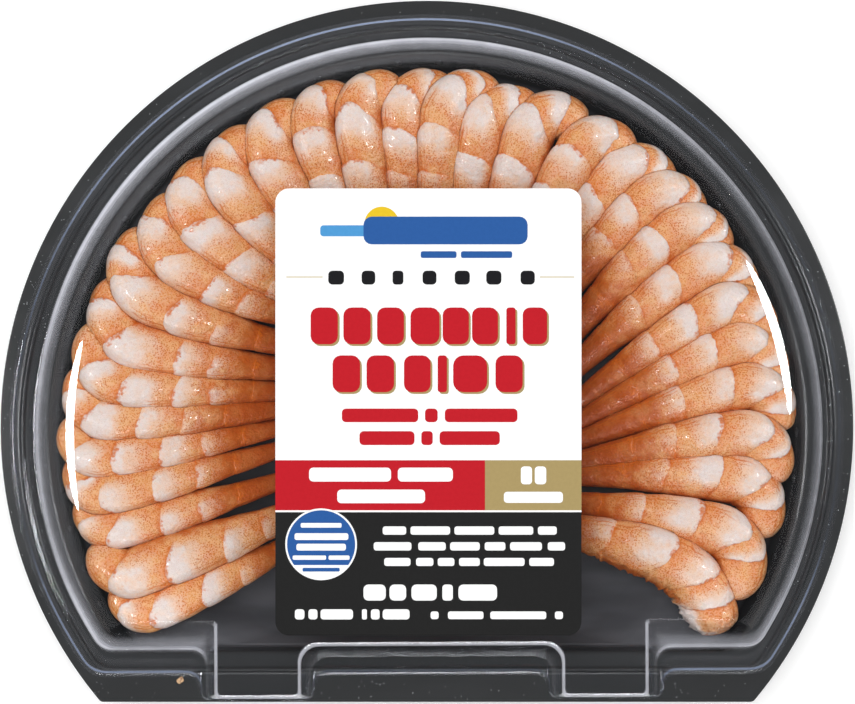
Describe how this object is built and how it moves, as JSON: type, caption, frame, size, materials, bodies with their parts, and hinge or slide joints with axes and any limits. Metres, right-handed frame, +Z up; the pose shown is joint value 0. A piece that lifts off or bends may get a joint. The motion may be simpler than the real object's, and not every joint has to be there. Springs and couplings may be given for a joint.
{
  "type": "cocktail shrimp tray",
  "caption": "Shut pack of cocktail shrimp: black D-shaped tray, clear domed lid with two front tongues, a label, and a fan of cooked peeled shrimp laid one over the next.",
  "frame": {"origin": "middle of the pack's box, on the surface that it stands on", "axes": "+X to the right along the straight front, +Y from the straight front to the round back, +Z up through the lid"},
  "size_m": [0.28, 0.2302, 0.0424],
  "materials": {
    "tray": "satin black",
    "lid": "clear",
    "label": "printed, white, red, tan and near-black fields",
    "shrimp": "moist"
  },
  "bodies": {
    "root": {"tray": "tray", "lid": "lid", "label": "label", "shrimp_01": "shrimp", "shrimp_02": "shrimp", "shrimp_03": "shrimp", "shrimp_04": "shrimp", "shrimp_05": "shrimp", "shrimp_06": "shrimp", "shrimp_07": "shrimp", "shrimp_08": "shrimp", "shrimp_09": "shrimp", "shrimp_10": "shrimp", "shrimp_11": "shrimp", "shrimp_12": "shrimp", "shrimp_13": "shrimp", "shrimp_14": "shrimp", "shrimp_15": "shrimp", "shrimp_16": "shrimp", "shrimp_17": "shrimp", "shrimp_18": "shrimp", "shrimp_19": "shrimp", "shrimp_20": "shrimp", "shrimp_21": "shrimp", "shrimp_22": "shrimp", "shrimp_23": "shrimp", "shrimp_24": "shrimp", "shrimp_25": "shrimp", "shrimp_26": "shrimp", "shrimp_27": "shrimp", "shrimp_28": "shrimp", "shrimp_29": "shrimp", "shrimp_30": "shrimp", "shrimp_31": "shrimp"}
  },
  "joints": []
}
